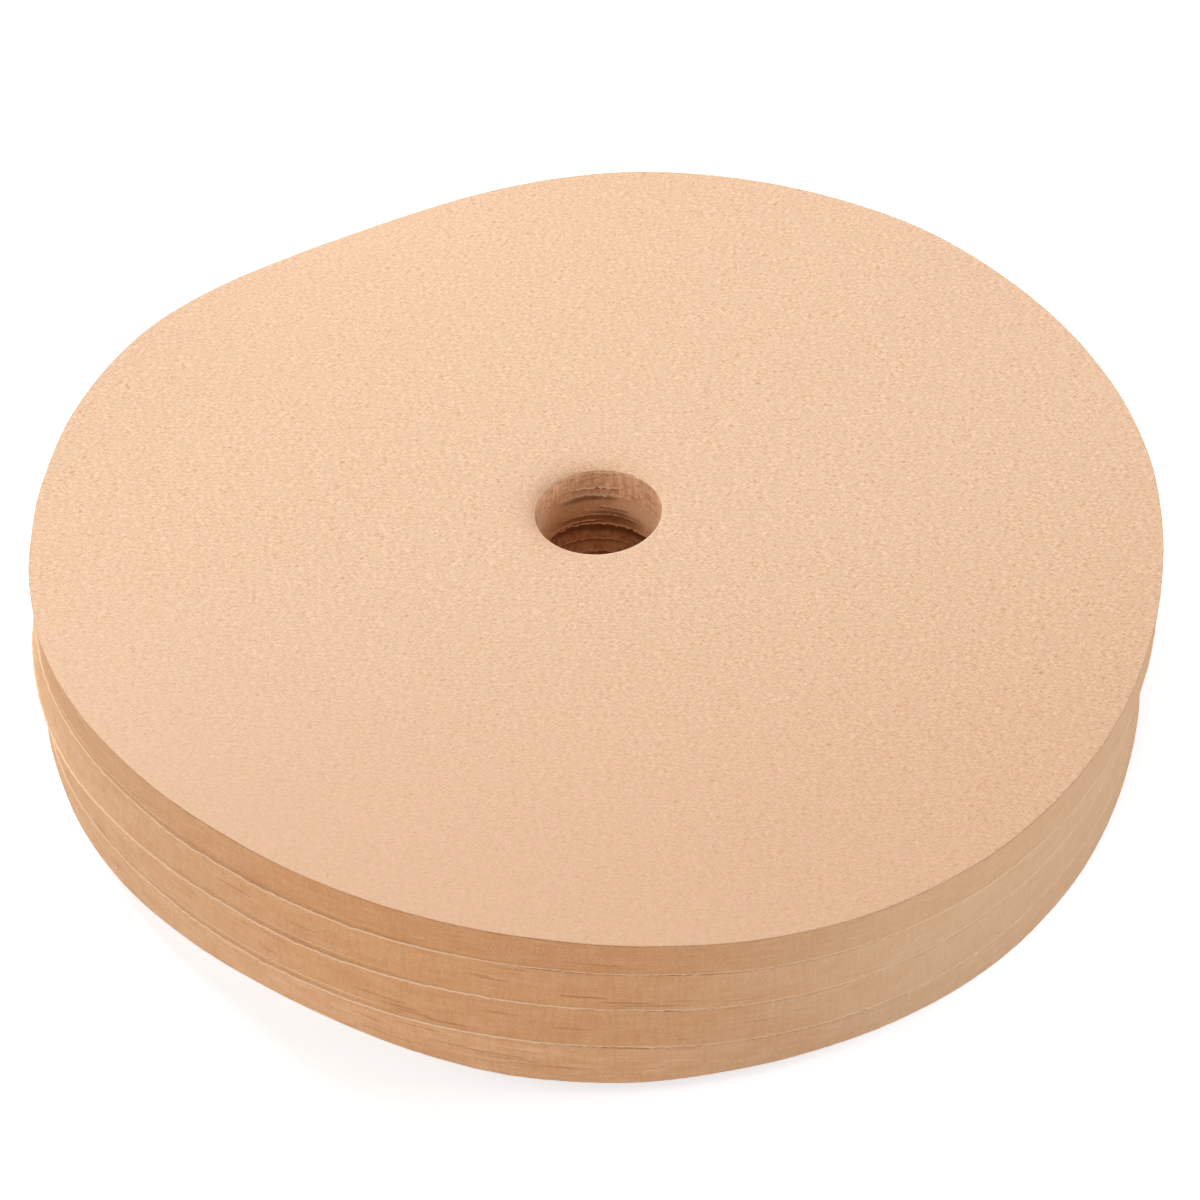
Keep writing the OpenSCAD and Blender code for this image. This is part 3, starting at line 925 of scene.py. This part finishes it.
def seen_rays(new_node, link):
    """From 0 to 1: whether a ray shows the background, straight to the camera or by gloss or glass."""
    path = new_node("ShaderNodeLightPath")
    either = path.outputs["Is Camera Ray"]
    for word in ("Is Glossy Ray", "Is Transmission Ray"):
        larger = new_node("ShaderNodeMath")
        larger.operation = "MAXIMUM"
        link(either, larger.inputs[0])
        link(path.outputs[word], larger.inputs[1])
        either = larger.outputs[0]
    return either


FLOOR_GREY = (0.85, 0.85, 0.85, 1.0)
FLOOR_LIFT = 0.6
FLOOR_HALF = 3000
FLOOR_DROP = 0.02  # which keeps the floor clear of the pack's foot


def floor_paint():
    """A white floor that keeps the pack's shadow: lit like paint, and lifted to white where it is seen."""
    nodes = Nodes("floor_paint")
    rays = seen_rays(nodes.tree.nodes.new, nodes.tree.links.new)
    lit = nodes.new("BsdfDiffuse", {"Color": FLOOR_GREY}).outputs[0]
    lift = {"Color": (1, 1, 1, 1), "Strength": nodes.times(rays, FLOOR_LIFT)}
    glow = nodes.new("Emission", lift).outputs[0]
    both = nodes.new("AddShader", {0: lit, 1: glow}).outputs[0]
    nodes.tree.links.new(both, nodes.output.inputs["Surface"])
    nodes.material.cycles.emission_sampling = "NONE"
    return nodes.material


def floor():
    half = FLOOR_HALF * MM
    corners = [(-half, -half, 0), (half, -half, 0), (half, half, 0), (-half, half, 0)]
    mesh = bpy.data.meshes.new("floor")
    mesh.from_pydata(corners, [], [(0, 1, 2, 3)])
    mesh.materials.append(floor_paint())
    plane = bpy.data.objects.new("floor", mesh)
    bpy.context.collection.objects.link(plane)
    plane.location.z = -FLOOR_DROP * MM


# Name, place in metres, power in watts and colour of each lamp
SOFT_BOXES = (
    ("back_left_box", (-0.25, 0.35, 0.45), 3.1, (1.0, 1.0, 1.0)),
    ("front_box", (-0.05, -0.6, 0.2), 1.2, (1.0, 1.0, 1.0)),
    ("left_box", (-0.55, -0.12, 0.33), 1.0, (1.0, 1.0, 1.0)),
    ("right_box", (0.6, 0.05, 0.25), 1.8, (0.95, 1.0, 1.1)),
)
BOX_SIZE = 0.3
SKY_LEVEL = 0.2


def soft_box(name, place, power, colour):
    """A square lamp that faces the pack."""
    data = bpy.data.lights.new(name, "AREA")
    data.size = BOX_SIZE
    data.energy = power
    data.color = colour
    lamp = bpy.data.objects.new(name, data)
    bpy.context.collection.objects.link(lamp)
    lamp.location = place
    lamp.rotation_euler = (-lamp.location).to_track_quat("-Z", "Y").to_euler()


def sky(strength):
    """An even pale sky that lights the pack, and plain white where it is seen."""
    world = bpy.data.worlds.new("studio")
    bpy.context.scene.world = world
    world.use_nodes = True
    tree = world.node_tree
    tree.nodes.clear()
    output = tree.nodes.new("ShaderNodeOutputWorld")
    mix = tree.nodes.new("ShaderNodeMixShader")
    tree.links.new(seen_rays(tree.nodes.new, tree.links.new), mix.inputs[0])
    for socket, level in ((1, strength), (2, 1.0)):
        light = tree.nodes.new("ShaderNodeBackground")
        light.inputs["Strength"].default_value = level
        tree.links.new(light.outputs[0], mix.inputs[socket])
    tree.links.new(mix.outputs[0], output.inputs["Surface"])


# The camera looks from this far in millimetres and this high in degrees at the middle of the top rim's
# plane, and is then turned a little so that the pack lies in the frame as it was photographed
CAMERA_DISTANCE = 226.3
CAMERA_ELEVATION = 42.19
CAMERA_PITCH, CAMERA_YAW, CAMERA_ROLL = -2.098, 0.083, -0.419
FOCAL_PIXELS = 2672.8
FRAME_PIXELS = 1200
SENSOR = 36.0


def camera():
    rise = math.radians(CAMERA_ELEVATION)
    away = CAMERA_DISTANCE * Vector((0, -math.cos(rise), math.sin(rise)))
    ahead = -away.normalized()
    right = Vector((1, 0, 0))
    up = right.cross(ahead)
    ahead = ahead + math.tan(math.radians(CAMERA_PITCH)) * up + math.tan(math.radians(CAMERA_YAW)) * right
    ahead.normalize()
    right = ahead.cross(Vector((0, 0, 1))).normalized()
    up = right.cross(ahead)
    roll = math.radians(CAMERA_ROLL)
    right, up = math.cos(roll) * right + math.sin(roll) * up, math.cos(roll) * up - math.sin(roll) * right
    data = bpy.data.cameras.new("camera")
    data.sensor_width = SENSOR
    data.lens = FOCAL_PIXELS / FRAME_PIXELS * SENSOR
    data.clip_start = 0.01
    eye = bpy.data.objects.new("camera", data)
    bpy.context.collection.objects.link(eye)
    turned = Matrix((right, up, -ahead)).transposed().to_4x4()
    aim = Vector((FACES[-1]["right"], FACES[-1]["back"], TOP_RIM_Z))
    eye.matrix_world = Matrix.Translation((away + aim) * MM) @ turned
    bpy.context.scene.camera = eye


bpy.context.scene.view_settings.view_transform = "Standard"
camera()
floor()
sky(SKY_LEVEL)
for box in SOFT_BOXES:
    soft_box(*box)

papers = [paper_face(), edge_of_sheets(CUT_LOOK), edge_of_sheets(HOLE_LOOK)]
for index in range(len(BUNDLES)):
    bundle_piece(index, papers)
fibre_rng = np.random.default_rng(SEED + len(BUNDLES))
groups = [top_fibres(fibre_rng), burr_tufts(fibre_rng)]
tubes("loose_fibres", *(np.concatenate(parts) for parts in zip(*groups)), fibre_paper())
